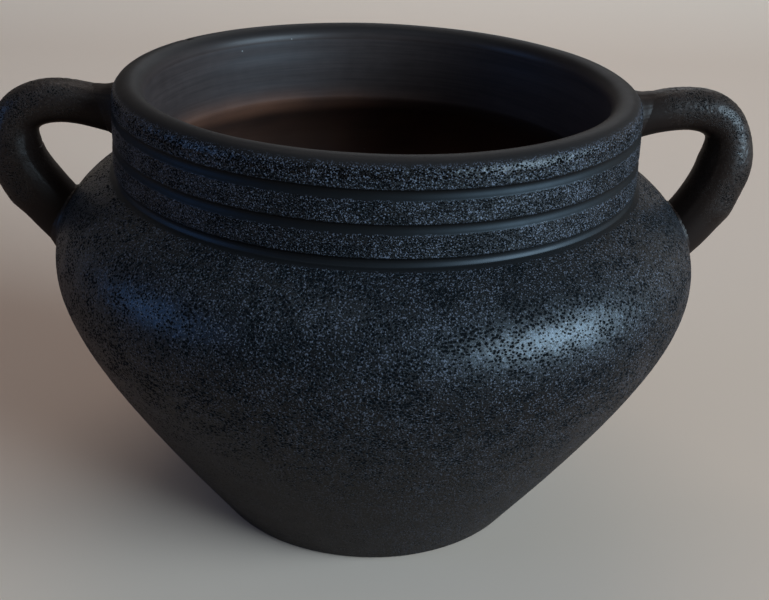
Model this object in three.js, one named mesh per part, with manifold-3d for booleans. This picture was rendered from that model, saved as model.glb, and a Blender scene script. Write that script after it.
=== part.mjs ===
// A wide two-handled vase of black fired clay, built from the pieces that a potter joins:
// a floor slab, two wall sections, a grooved collar, a lip coil, two rolled handles and the
// soft coils that lute the handles to the wall.
// Millimetres, +Z up. The vase stands on z = 0 with its axis on Z and its handles along X.

import * as THREE from 'three';
import { mergeVertices } from 'three/addons/utils/BufferGeometryUtils.js';
import Module from 'manifold-3d';

// Body
const baseRadius = 80;
const footBevel = 1.5;
const floorThickness = 12;
const wallThickness = 11;
const footLean = THREE.MathUtils.degToRad(56);
const footPull = 89;
const bellyRadius = 148.5;
const bellyHeight = 127;
const bellyPullDown = 20.5;
const bellyPullUp = 21.5;
const neckHeight = 167;
const shoulderSlope = THREE.MathUtils.degToRad(31);
const shoulderPull = 17;
const floorFilletWidth = 5;
const floorFilletHeight = 9;

// Collar and lip
const mouthRadius = 104;
const neckLedge = 0.6;
const throatLean = 8;
const throatDrop = 10;
const collarHeight = 34.3;
const collarFootWall = 15.6;
const collarTopWall = 14.2;
const grooveCount = 3;
const groovePitch = 13.25;
const grooveWidth = 4.1;
const grooveDepth = 1.6;
const lipHeight = 7.1;

// Joints between the thrown sections
const slipGap = 0.3;
const tongueWidth = 5;
const tongueHeight = 2;

// Handles
const leftArmBelowRim = 20.7;
const rightArmBelowRim = 18.2;
const leftStandOff = 17.8;
const rightStandOff = 16.9;
const leftHeelAboveBelly = 12.8;
const rightHeelAboveBelly = 9.1;
const armRise = THREE.MathUtils.degToRad(20);
const armPull = 28;
const bendBelowArm = 14.6;
const bendPullUp = 25.8;
const bendPullDown = 7.8;
const heelRise = THREE.MathUtils.degToRad(50);
const heelPull = 20;
const armRadius = 9.8;
const heelRadius = 12.9;
const swellStart = 0.42;
const swellEnd = 0.6;
const rootDepth = 5;

// Luting coils round the handle roots
const upperLuteLength = 6;
const lowerLuteLength = 2.5;
const upperLuteFlare = 1.8;
const lowerLuteFlare = 1.8;
const luteEdge = 0.7;

// Fineness of the round forms
const turnSteps = 56;
const lowerSteps = 9;
const shoulderSteps = 7;
const grooveSteps = 4;
const filletSteps = 4;
const lipSteps = 9;
const handleSteps = 26;
const luteSteps = 7;
const barSides = 16;
const heightHalvings = 40;
const wallSearchSteps = 400;

// Sizes that follow from those above
const collarFootRadius = mouthRadius + collarFootWall;
const collarTopRadius = mouthRadius + collarTopWall;
const neckRadius = collarFootRadius + neckLedge;
const collarFoot = neckHeight + grooveWidth / 2;
const lipSeam = neckHeight + collarHeight;
const rimHeight = lipSeam + lipHeight;
const heelDepth = rootDepth + (heelRadius + luteEdge + lowerLuteFlare) * Math.tan(heelRise);

const wasm = await Module();
wasm.setup();

const point = (radius, height) => new THREE.Vector2(radius, height);

// The outside of the wall is two curves that meet upright at the belly.
const lowerOutside = new THREE.CubicBezierCurve(
  point(baseRadius, 0),
  point(baseRadius + footPull * Math.cos(footLean), footPull * Math.sin(footLean)),
  point(bellyRadius, bellyHeight - bellyPullDown),
  point(bellyRadius, bellyHeight),
);
const shoulderOutside = new THREE.CubicBezierCurve(
  point(bellyRadius, bellyHeight),
  point(bellyRadius, bellyHeight + bellyPullUp),
  point(
    neckRadius + shoulderPull * Math.cos(shoulderSlope),
    neckHeight - shoulderPull * Math.sin(shoulderSlope),
  ),
  point(neckRadius, neckHeight),
);
const shoulderInside = new THREE.CubicBezierCurve(
  point(bellyRadius - wallThickness, bellyHeight),
  point(bellyRadius - wallThickness, bellyHeight + bellyPullUp),
  point(mouthRadius + throatLean, neckHeight - throatDrop),
  point(mouthRadius, collarFoot),
);

// The inside of the lower wall lies one wall thickness in from the outside.
function lowerInsideAt(t) {
  const along = lowerOutside.getTangent(t);
  const out = point(along.y, -along.x);
  return lowerOutside.getPoint(t).addScaledVector(out, -wallThickness);
}

// Finds where a rising curve reaches a height, by halving.
function paramAtHeight(pointAt, height) {
  let low = 0;
  let high = 1;
  for (let i = 0; i < heightHalvings; i += 1) {
    const middle = (low + high) / 2;
    if (pointAt(middle).y < height) {
      low = middle;
    } else {
      high = middle;
    }
  }
  return (low + high) / 2;
}

// Points of a curve between two heights, the end points exactly on them.
function stretch(pointAt, fromHeight, toHeight, steps) {
  const first = paramAtHeight(pointAt, fromHeight);
  const last = paramAtHeight(pointAt, toHeight);
  const points = [];
  for (let i = 0; i <= steps; i += 1) {
    points.push(pointAt(first + (last - first) * i / steps));
  }
  return points;
}

const lowerOutsideAt = (t) => lowerOutside.getPoint(t);
const shoulderOutsideAt = (t) => shoulderOutside.getPoint(t);
const shoulderInsideAt = (t) => shoulderInside.getPoint(t);

function collarRadiusAt(height) {
  const share = (height - neckHeight) / collarHeight;
  return THREE.MathUtils.lerp(collarFootRadius, collarTopRadius, share);
}

// The wall's outside radius at any height, with the grooves left out.
function wallRadiusAt(height) {
  if (height >= neckHeight) {
    return collarRadiusAt(height);
  }
  const pointAt = height < bellyHeight ? lowerOutsideAt : shoulderOutsideAt;
  return pointAt(paramAtHeight(pointAt, height)).x;
}

// A joint face from the outside in, with a tongue that stands up in its middle.
function jointFace(outerRadius, innerRadius, height) {
  const middle = (outerRadius + innerRadius) / 2;
  return [
    point(outerRadius, height),
    point(middle + tongueWidth / 2, height),
    point(middle, height + tongueHeight),
    point(middle - tongueWidth / 2, height),
    point(innerRadius, height),
  ];
}

// Points of a turned groove from a share of its section to another: 0 its foot, 1 its top.
function groovePoints(footHeight, fromShare, toShare) {
  const steps = Math.round(grooveSteps * (toShare - fromShare));
  const points = [];
  for (let i = 0; i <= steps; i += 1) {
    const angle = Math.PI * (fromShare + (toShare - fromShare) * i / steps);
    const height = footHeight + grooveWidth / 2 * (1 - Math.cos(angle));
    points.push(point(collarRadiusAt(height) - grooveDepth * Math.sin(angle), height));
  }
  return points;
}

// A ring or disc turned round the axis from its outline.
function turned(outline, closed) {
  const points = closed ? [...outline, outline[0].clone()] : outline;
  return new THREE.LatheGeometry(points, turnSteps).rotateX(Math.PI / 2);
}

const wallFootOuter = stretch(lowerOutsideAt, 0, floorThickness, 2);
const wallFootInner = lowerInsideAt(paramAtHeight(lowerInsideAt, floorThickness));

function baseDisc() {
  const edge = lowerOutsideAt(paramAtHeight(lowerOutsideAt, footBevel));
  const joint = jointFace(wallFootOuter[2].x, wallFootInner.x, floorThickness);
  return turned([
    point(0, 0),
    point(baseRadius - footBevel, 0),
    edge,
    wallFootOuter[1],
    ...joint,
    point(0, floorThickness),
  ], false);
}

function lowerWall() {
  const foot = floorThickness + slipGap;
  const filletTop = floorThickness + floorFilletHeight;
  const outside = stretch(lowerOutsideAt, foot, bellyHeight, lowerSteps);
  const inside = stretch(lowerInsideAt, filletTop, bellyHeight, lowerSteps - 2).reverse();
  const crown = jointFace(bellyRadius, bellyRadius - wallThickness, bellyHeight);
  const fillet = new THREE.QuadraticBezierCurve(
    inside[inside.length - 1],
    wallFootInner,
    point(wallFootInner.x - floorFilletWidth, foot),
  ).getPoints(filletSteps);
  const heel = jointFace(wallFootOuter[2].x, wallFootInner.x, foot).slice(1, 4).reverse();
  return turned([
    ...outside.slice(0, -1),
    ...crown,
    ...inside.slice(1, -1),
    ...fillet,
    ...heel,
  ], true);
}

function shoulderWall() {
  const foot = bellyHeight + slipGap;
  const outside = stretch(shoulderOutsideAt, foot, neckHeight, shoulderSteps);
  const halfGroove = groovePoints(neckHeight, 0, 0.5);
  const seamRadius = halfGroove[halfGroove.length - 1].x;
  const crown = jointFace(seamRadius, mouthRadius, collarFoot);
  const inside = stretch(shoulderInsideAt, foot, collarFoot, shoulderSteps).reverse();
  const heel = jointFace(bellyRadius, bellyRadius - wallThickness, foot).slice(1, 4).reverse();
  return turned([
    ...outside,
    ...halfGroove.slice(1, -1),
    ...crown,
    ...inside.slice(1),
    ...heel,
  ], true);
}

function neckCollar() {
  const outside = [];
  for (let i = 0; i < grooveCount; i += 1) {
    const foot = neckHeight + i * groovePitch;
    outside.push(...groovePoints(foot, i === 0 ? 0.5 : 0, 1));
  }
  outside[0].y += slipGap;
  const crown = jointFace(collarTopRadius, mouthRadius, lipSeam);
  const heel = jointFace(outside[0].x, mouthRadius, collarFoot + slipGap).slice(1).reverse();
  return turned([...outside, ...crown, ...heel], true);
}

function rimLip() {
  const foot = lipSeam + slipGap;
  const middle = (collarTopRadius + mouthRadius) / 2;
  const crown = new THREE.EllipseCurve(
    middle, foot, collarTopRadius - middle, rimHeight - foot, 0, Math.PI,
  ).getPoints(lipSteps);
  const heel = jointFace(collarTopRadius, mouthRadius, foot).slice(1, 4).reverse();
  return turned([...crown, ...heel], true);
}

// The middle line of a handle: out of the collar, over the bend and back into the shoulder.
function handlePath(armBelowRim, standOff, heelAboveBelly) {
  const armHeight = rimHeight - armBelowRim;
  const reach = bellyRadius + standOff;
  const bendHeight = armHeight - bendBelowArm;
  const heelHeight = bellyHeight + heelAboveBelly;
  const root = point(wallRadiusAt(armHeight) - rootDepth, armHeight);
  const bend = point(reach, bendHeight);
  const heel = point(wallRadiusAt(heelHeight), heelHeight);
  const heelAlong = point(Math.cos(heelRise), Math.sin(heelRise));
  const path = new THREE.CurvePath();
  path.add(new THREE.CubicBezierCurve(
    root,
    point(root.x + armPull * Math.cos(armRise), root.y + armPull * Math.sin(armRise)),
    point(reach, bendHeight + bendPullUp),
    bend,
  ));
  path.add(new THREE.CubicBezierCurve(
    bend,
    point(reach, bendHeight - bendPullDown),
    heel.clone().addScaledVector(heelAlong, heelPull),
    heel,
  ));
  path.add(new THREE.LineCurve(heel, heel.clone().addScaledVector(heelAlong, -heelDepth)));
  return path;
}

// The rolled coil grows thicker from its arm to its heel.
function coilRadiusAt(share) {
  const growth = THREE.MathUtils.smoothstep(share, swellStart, swellEnd);
  return THREE.MathUtils.lerp(armRadius, heelRadius, growth);
}

// A closed round bar along a flat path in the XZ plane, its radius given along the way.
function sweptBar(path, radiusAt, from, to, steps) {
  const positions = [];
  const faces = [];
  for (let i = 0; i <= steps; i += 1) {
    const share = from + (to - from) * i / steps;
    const centre = path.getPointAt(share);
    const along = path.getTangentAt(share);
    const radius = radiusAt(share);
    for (let j = 0; j < barSides; j += 1) {
      const angle = 2 * Math.PI * j / barSides;
      const across = radius * Math.cos(angle);
      positions.push(
        centre.x + along.y * across, radius * Math.sin(angle), centre.y - along.x * across,
      );
    }
  }
  const vertex = (ring, side) => ring * barSides + side % barSides;
  for (let i = 0; i < steps; i += 1) {
    for (let j = 0; j < barSides; j += 1) {
      faces.push(vertex(i, j), vertex(i, j + 1), vertex(i + 1, j + 1));
      faces.push(vertex(i, j), vertex(i + 1, j + 1), vertex(i + 1, j));
    }
  }
  for (let j = 1; j < barSides - 1; j += 1) {
    faces.push(vertex(0, 0), vertex(0, j + 1), vertex(0, j));
    faces.push(vertex(steps, 0), vertex(steps, j), vertex(steps, j + 1));
  }
  const geometry = new THREE.BufferGeometry();
  geometry.setAttribute('position', new THREE.Float32BufferAttribute(positions, 3));
  geometry.setIndex(faces);
  return geometry;
}

function solidOf(geometry) {
  const bare = geometry.clone();
  bare.deleteAttribute('normal');
  bare.deleteAttribute('uv');
  const merged = mergeVertices(bare);
  return new wasm.Manifold(new wasm.Mesh({
    numProp: 3,
    vertProperties: new Float32Array(merged.attributes.position.array),
    triVerts: new Uint32Array(merged.index.array),
  }));
}

function geometryOf(solid) {
  const mesh = solid.getMesh();
  const geometry = new THREE.BufferGeometry();
  geometry.setAttribute('position', new THREE.BufferAttribute(mesh.vertProperties, 3));
  geometry.setIndex(new THREE.BufferAttribute(mesh.triVerts, 1));
  geometry.computeVertexNormals();
  return geometry;
}

// The wall with its slip gap, as a ring that trims whatever is luted to it.
function wallTrimmer() {
  const outside = [
    ...lowerOutside.getPoints(lowerSteps).slice(0, -1),
    ...shoulderOutside.getPoints(shoulderSteps),
    point(collarTopRadius, lipSeam),
    point(collarTopRadius, rimHeight + slipGap),
  ];
  const last = outside.length - 1;
  const grown = outside.map((spot, i) => {
    const along = outside[Math.min(i + 1, last)].clone().sub(outside[Math.max(i - 1, 0)]);
    along.normalize();
    return spot.clone().add(point(along.y * slipGap, -along.x * slipGap));
  });
  const core = baseRadius - wallThickness;
  return solidOf(turned([...grown, point(core, rimHeight), point(core, 0)], true));
}

// The share of the path where it leaves the wall, looked for from either end.
function shareAtWall(path, fromStart) {
  for (let i = 0; i <= wallSearchSteps; i += 1) {
    const share = fromStart ? i / wallSearchSteps : 1 - i / wallSearchSteps;
    const spot = path.getPointAt(share);
    if (spot.x > wallRadiusAt(spot.y)) {
      return share;
    }
  }
  return fromStart ? 0 : 1;
}

// The share of the path where a bar round it has wholly left the wall, from either end.
function shareClearOfWall(path, radiusAt, fromStart) {
  for (let i = 0; i <= wallSearchSteps; i += 1) {
    const share = fromStart ? i / wallSearchSteps : 1 - i / wallSearchSteps;
    const centre = path.getPointAt(share);
    const along = path.getTangentAt(share);
    const across = point(along.y, -along.x).multiplyScalar(radiusAt(share));
    const spots = [centre, centre.clone().add(across), centre.clone().sub(across)];
    if (spots.every((spot) => spot.x > wallRadiusAt(spot.y) + slipGap)) {
      return share;
    }
  }
  return fromStart ? 0 : 1;
}

function handleCoil(path, trimmer) {
  return geometryOf(solidOf(sweptBar(path, coilRadiusAt, 0, 1, handleSteps)).subtract(trimmer));
}

// A coil smeared round one root: thick at the wall and thin where it runs out on the handle.
function lutingCoil(path, trimmer, atStart, length, flare) {
  const total = path.getLength();
  const wall = shareAtWall(path, atStart);
  const end = atStart ? 0 : 1;
  const seatRadiusAt = (share) => coilRadiusAt(share) + slipGap;
  const edgeRadiusAt = (share) => seatRadiusAt(share) + luteEdge;
  const clear = shareClearOfWall(path, edgeRadiusAt, atStart);
  const rim = atStart ? clear + length / total : clear - length / total;
  const outsideRadiusAt = (share) => {
    const left = THREE.MathUtils.clamp((rim - share) / (rim - wall), 0, 1);
    return edgeRadiusAt(share) + flare * left * left;
  };
  const first = Math.min(end, rim);
  const last = Math.max(end, rim);
  const outside = solidOf(sweptBar(path, outsideRadiusAt, first, last, luteSteps));
  const seat = solidOf(sweptBar(path, seatRadiusAt, 0, 1, handleSteps));
  return geometryOf(outside.subtract(seat).subtract(trimmer));
}

// Finishes: burnished where a rib or a wet finger went over the clay, grainy elsewhere.
function clay(colour, roughness) {
  return new THREE.MeshStandardMaterial({ color: colour, roughness, metalness: 0 });
}

function piece(name, geometry, material) {
  const mesh = new THREE.Mesh(geometry, material);
  mesh.name = name;
  return mesh;
}

function handleSide(side, path, trimmer) {
  const group = new THREE.Group();
  group.add(
    piece(`${side}_handle`, handleCoil(path, trimmer), clay('#1d1d1f', 0.5)),
    piece(
      `${side}_upper_lute`,
      lutingCoil(path, trimmer, true, upperLuteLength, upperLuteFlare),
      clay('#1e1e20', 0.46),
    ),
    piece(
      `${side}_lower_lute`,
      lutingCoil(path, trimmer, false, lowerLuteLength, lowerLuteFlare),
      clay('#1e1e20', 0.46),
    ),
  );
  return group;
}

const trimmer = wallTrimmer();
const rightPath = handlePath(rightArmBelowRim, rightStandOff, rightHeelAboveBelly);
const leftPath = handlePath(leftArmBelowRim, leftStandOff, leftHeelAboveBelly);
const rightSide = handleSide('right', rightPath, trimmer);
const leftSide = handleSide('left', leftPath, trimmer);
leftSide.rotation.z = Math.PI;

const vase = new THREE.Group();
vase.add(
  piece('base_disc', baseDisc(), clay('#1a1a1b', 0.62)),
  piece('lower_wall', lowerWall(), clay('#1b1b1d', 0.58)),
  piece('shoulder_wall', shoulderWall(), clay('#1c1c1f', 0.54)),
  piece('neck_collar', neckCollar(), clay('#1d1e21', 0.52)),
  piece('rim_lip', rimLip(), clay('#222224', 0.44)),
  rightSide,
  leftSide,
);

export default vase;
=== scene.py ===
"""Dresses a two-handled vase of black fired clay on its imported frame.

The body is one turned skin, cut into the pieces that a potter joins: a floor slab, two wall
sections, a grooved collar and a lip. Two rolled handles are luted to it with smeared coils.
Everything is in metres, +Z up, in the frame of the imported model.
"""

import logging
import math
from collections.abc import Sequence
from dataclasses import dataclass, field
from enum import Enum

import bpy
import numpy as np
from mathutils import Matrix, Vector


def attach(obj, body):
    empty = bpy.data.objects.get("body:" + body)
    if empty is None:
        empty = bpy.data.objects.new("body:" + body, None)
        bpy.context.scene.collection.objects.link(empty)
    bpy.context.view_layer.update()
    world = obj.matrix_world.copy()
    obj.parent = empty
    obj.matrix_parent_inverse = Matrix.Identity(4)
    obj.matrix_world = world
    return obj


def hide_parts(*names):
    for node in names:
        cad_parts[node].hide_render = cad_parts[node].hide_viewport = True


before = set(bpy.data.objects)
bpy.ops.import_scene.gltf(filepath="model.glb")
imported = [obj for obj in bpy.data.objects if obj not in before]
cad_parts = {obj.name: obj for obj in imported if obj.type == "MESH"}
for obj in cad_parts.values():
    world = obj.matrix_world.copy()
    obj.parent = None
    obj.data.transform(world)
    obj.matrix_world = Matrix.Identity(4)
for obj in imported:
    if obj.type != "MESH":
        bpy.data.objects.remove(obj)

LOG = logging.getLogger("vase")
BAKE_MAP = "OFBake"
TINY = 1e-12

Colour = tuple[float, float, float]
Place = tuple[float, float, float]
Span = tuple[float, float]
Socket = bpy.types.NodeSocket
Sockets = bpy.types.bpy_prop_collection


def smoothstep(low: float, high: float, value: np.ndarray | float) -> np.ndarray:
    """Eases from 0 at low to 1 at high.

    Args:
        low: Value where the ease starts.
        high: Value where the ease ends.
        value: Values to ease.

    Returns:
        The eased shares.
    """
    share = np.clip((np.asarray(value, float) - low) / (high - low), 0.0, 1.0)
    return share * share * (3.0 - 2.0 * share)


def hump(away: np.ndarray, width: float) -> np.ndarray:
    """Soft hump that is 1 in its middle and fades over a width."""
    return np.exp(-(away / width) ** 2)


def unit(vectors: np.ndarray) -> np.ndarray:
    """Vectors along the last axis, brought to length 1."""
    return vectors / np.maximum(np.linalg.norm(vectors, axis=-1, keepdims=True), TINY)


def slanted(length: float, angle: float) -> np.ndarray:
    """Step of a length at an angle to the level, as (out, up)."""
    return length * np.array([math.cos(angle), math.sin(angle)])


def turns(count: int) -> np.ndarray:
    """Angles of columns that are spread evenly round a ring."""
    return 2.0 * math.pi * np.arange(count) / count


def bearing(places: np.ndarray) -> np.ndarray:
    """Angles of places round the upright axis."""
    return np.arctan2(places[..., 1], places[..., 0])


def bezier(corners: Sequence[Sequence[float]], count: int = 160) -> np.ndarray:
    """Draws a Bezier curve of any order.

    Args:
        corners: Control points, first to last.
        count: Number of points wanted.

    Returns:
        Points along the curve, one to a row.
    """
    share = np.linspace(0.0, 1.0, count)[:, None]
    points = [np.asarray(corner, float)[None, :] + 0.0 * share for corner in corners]
    while len(points) > 1:
        points = [a + (b - a) * share for a, b in zip(points, points[1:])]
    return points[0]


def lengths(line: np.ndarray) -> np.ndarray:
    """Running length along a line of points."""
    steps = np.linalg.norm(np.diff(line, axis=0), axis=1)
    return np.concatenate([[0.0], np.cumsum(steps)])


def tangents(line: np.ndarray) -> np.ndarray:
    """Directions along a line of points, at length 1."""
    return unit(np.gradient(line, axis=0))


def resampled(line: np.ndarray, spacing: float) -> np.ndarray:
    """Spreads points evenly along a line.

    Args:
        line: Points of the line, one to a row.
        spacing: Rough distance wanted between points.

    Returns:
        Evenly spaced points with the same two ends.
    """
    run = lengths(line)
    count = max(2, round(run[-1] / spacing) + 1)
    at = np.linspace(0.0, run[-1], count)
    return np.stack([np.interp(at, run, column) for column in line.T], axis=1)


def between_heights(line: np.ndarray, low: float, high: float) -> np.ndarray:
    """Cuts a rising outline at two heights.

    Args:
        line: Outline of (radius, height), its height rising.
        low: Height of the first point.
        high: Height of the last point.

    Returns:
        The part of the outline between the two heights.
    """
    inside = line[(line[:, 1] > low) & (line[:, 1] < high)]
    ends = [(np.interp(h, line[:, 1], line[:, 0]), h) for h in (low, high)]
    return np.vstack([ends[0], inside, ends[1]])


def towards(azimuth: float, elevation: float) -> Vector:
    """Direction from the vase to its front, turned by an azimuth and raised by an elevation."""
    flat = math.cos(elevation)
    return Vector((math.sin(azimuth) * flat, -math.cos(azimuth) * flat, math.sin(elevation)))


def linked(name: str, data: bpy.types.ID) -> bpy.types.Object:
    """Makes an object and links it to the scene.

    Args:
        name: Name of the object.
        data: Mesh, lamp or camera that it shows.

    Returns:
        The linked object.
    """
    item = bpy.data.objects.new(name, data)
    bpy.context.scene.collection.objects.link(item)
    return item


class GradientNoise:
    """Smooth seeded noise over space, the same on every run."""

    CELLS = 256
    GAIN = 1.6

    def __init__(self, seed: int) -> None:
        """Draws the slopes.

        Args:
            seed: Start of the draw.
        """
        draw = np.random.default_rng(seed)
        self.slopes = unit(draw.normal(size=(self.CELLS, 3)))
        self.order = draw.permutation(self.CELLS)

    def at(self, points: np.ndarray, size: float) -> np.ndarray:
        """Samples the noise.

        Args:
            points: Places, with x, y and z along the last axis.
            size: Size of one lump.

        Returns:
            Values from about -1 to 1.
        """
        scaled = points / size
        cell = np.floor(scaled).astype(np.int64)
        part = scaled - cell
        ease = part ** 3 * (part * (part * 6.0 - 15.0) + 10.0)
        total = np.zeros(points.shape[:-1])
        last = self.CELLS - 1
        for corner in np.ndindex(2, 2, 2):
            step = np.array(corner)
            spot = (cell + step) & last
            pick = self.order[(self.order[spot[..., 0]] + spot[..., 1]) & last]
            pick = self.order[(pick + spot[..., 2]) & last]
            weight = np.prod(np.where(step, ease, 1.0 - ease), axis=-1)
            total += weight * np.sum(self.slopes[pick] * (part - step), axis=-1)
        return self.GAIN * total


class PitScatter:
    """Round pits scattered one to a cell of space, with some cells left bare."""

    CELLS = 4096
    PRIMES = np.array([73856093, 19349663, 83492791])
    MARGIN = 0.1
    LEAST_RADIUS = 0.34
    RADIUS_SPAN = 0.3

    def __init__(self, seed: int) -> None:
        """Draws the pits' places and sizes.

        Args:
            seed: Start of the draw.
        """
        draw = np.random.default_rng(seed)
        self.place = draw.uniform(self.MARGIN, 1.0 - self.MARGIN, size=(self.CELLS, 3))
        self.draw = draw.uniform(size=self.CELLS)

    def at(self, points: np.ndarray, size: float, share: np.ndarray | float) -> np.ndarray:
        """Samples the pits.

        Args:
            points: Places, with x, y and z along the last axis.
            size: Size of a cell that holds one pit.
            share: Share of the cells that hold a pit.

        Returns:
            0 on the flat to 1 at the floor of a pit.
        """
        scaled = points / size
        cell = np.floor(scaled).astype(np.int64)
        deepest = np.zeros(points.shape[:-1])
        for corner in np.ndindex(3, 3, 3):
            spot = cell + np.array(corner) - 1
            mixed = np.bitwise_xor.reduce(spot * self.PRIMES, axis=-1) & (self.CELLS - 1)
            away = np.linalg.norm(spot + self.place[mixed] - scaled, axis=-1)
            radius = self.LEAST_RADIUS + self.RADIUS_SPAN * self.draw[mixed]
            depth = smoothstep(0.0, 1.0, 1.0 - away / radius)
            deepest = np.maximum(deepest, np.where(self.draw[mixed] < share, depth, 0.0))
        return deepest


@dataclass(frozen=True)
class Relief:
    """How rough one kind of clay surface is, in real heights, and its values for the shader.

    A shift says where in its noise a surface is sampled, so that two surfaces differ.
    """

    knob: float = 0.0
    knob_size: float = 0.0016
    pit: float = 0.0
    pit_size: float = 0.0018
    pit_share: float = 0.6
    least_pits: float = 0.05
    pit_flatten: float = 1.5
    pit_shift: float = 0.0
    patch_shift: float = 0.3
    line: float = 0.0
    line_pitch: float = 0.0065
    line_drift: float = 0.06
    wander: float = 0.0002
    wander_size: float = 0.045
    wander_shift: float = 0.0
    grain: float = 0.0
    coarse: float = 0.0
    inside: float = 0.0


class Surface(Enum):
    """Kinds of clay surface on the vase."""

    COARSE_BAND = Relief(knob=0.00022, pit=0.0002, grain=1.0, coarse=1.0)
    FINE_BAND = Relief(
        knob=0.00014, knob_size=0.0012, pit=0.00014, pit_size=0.0014, grain=1.0, coarse=0.3,
    )
    BELLY = Relief(knob=0.00008, knob_size=0.0021, pit=0.00014, pit_size=0.0024, grain=1.0)
    BURNISHED = Relief(line=0.00002, line_pitch=0.0012, wander=0.00015)
    CUT = Relief(line=0.00005, line_pitch=0.002, line_drift=1.0, wander=0.0001, grain=0.3)
    THROWN = Relief(line=0.00016, wander=0.0003, inside=1.0)
    WIPED_FLOOR = Relief(line=0.00016, line_drift=1.0, wander=0.0003, inside=1.0)
    ROLLED = Relief(
        knob=0.00014, knob_size=0.0019, pit=0.0002, pit_size=0.0021, least_pits=0.0, pit_flatten=1.0,
        pit_shift=0.5, patch_shift=0.0, wander=0.0004, wander_size=0.02, wander_shift=0.7,
    )


class ClayGrain:
    """The seeded noises that body and handles take their relief from."""

    NOISE_SEEDS = (11, 23, 37)
    PIT_SEED = 53
    PATCH_SIZE = 0.012
    PATCH_SWING = 0.5
    LINE_SHIFT = 0.01

    def __init__(self) -> None:
        """Draws the noises in a set order."""
        self.broad, self.fine, self.ragged = (GradientNoise(seed) for seed in self.NOISE_SEEDS)
        self.pits = PitScatter(self.PIT_SEED)

    def height(self, kind: Relief, places: np.ndarray, grain: np.ndarray) -> np.ndarray:
        """Works out the relief of one kind of surface.

        Args:
            kind: How rough the surface is.
            places: Places of the smooth form, with x, y and z along the last axis.
            grain: Share of the full grain at each place.

        Returns:
            Heights over the smooth form.
        """
        height = kind.wander * self.broad.at(places + kind.wander_shift, kind.wander_size)
        if kind.line:
            level = places * np.array([kind.line_drift, kind.line_drift, 1.0])
            height += kind.line * self.fine.at(level + self.LINE_SHIFT, kind.line_pitch)
        if kind.knob:
            height += grain * kind.knob * self.fine.at(places, kind.knob_size)
        if kind.pit:
            patch = self.PATCH_SWING * self.broad.at(places + kind.patch_shift, self.PATCH_SIZE)
            share = np.clip(kind.pit_share + patch, kind.least_pits, 1.0)
            level = places * np.array([1.0, 1.0, kind.pit_flatten]) + kind.pit_shift
            height -= kind.pit * grain * self.pits.at(level, kind.pit_size, share)
        return height


class Layer(Enum):
    """Values that the mesh carries for the shader, by attribute name."""

    GRAIN = "grain"
    COARSE = "coarse"
    INSIDE = "inside"
    # Strength of the painted warm light inside.
    BLOOM = "bloom"


@dataclass
class Skin:
    """Rings of places, by row and column, with the layers for their shader."""

    places: np.ndarray
    layers: dict[Layer, np.ndarray]

    def __post_init__(self) -> None:
        """Works out normals that run on from ring to ring, so that no seam shows."""
        around = np.roll(self.places, -1, axis=1) - np.roll(self.places, 1, axis=1)
        self.normals = unit(np.cross(around, np.gradient(self.places, axis=0)))


@dataclass
class Run:
    """A stretch of the turned outline with one kind of surface."""

    name: str
    drawn: np.ndarray
    spacing: float
    surface: Surface
    stride: int = 1
    fade_start: float = 0.0
    fade_end: float = 0.0

    def __post_init__(self) -> None:
        """Spreads the rows evenly along the drawn line."""
        self.outline = resampled(self.drawn, self.spacing)


@dataclass
class Ring:
    """One closed row of vertices in a mesh."""

    start: int
    count: int


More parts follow.
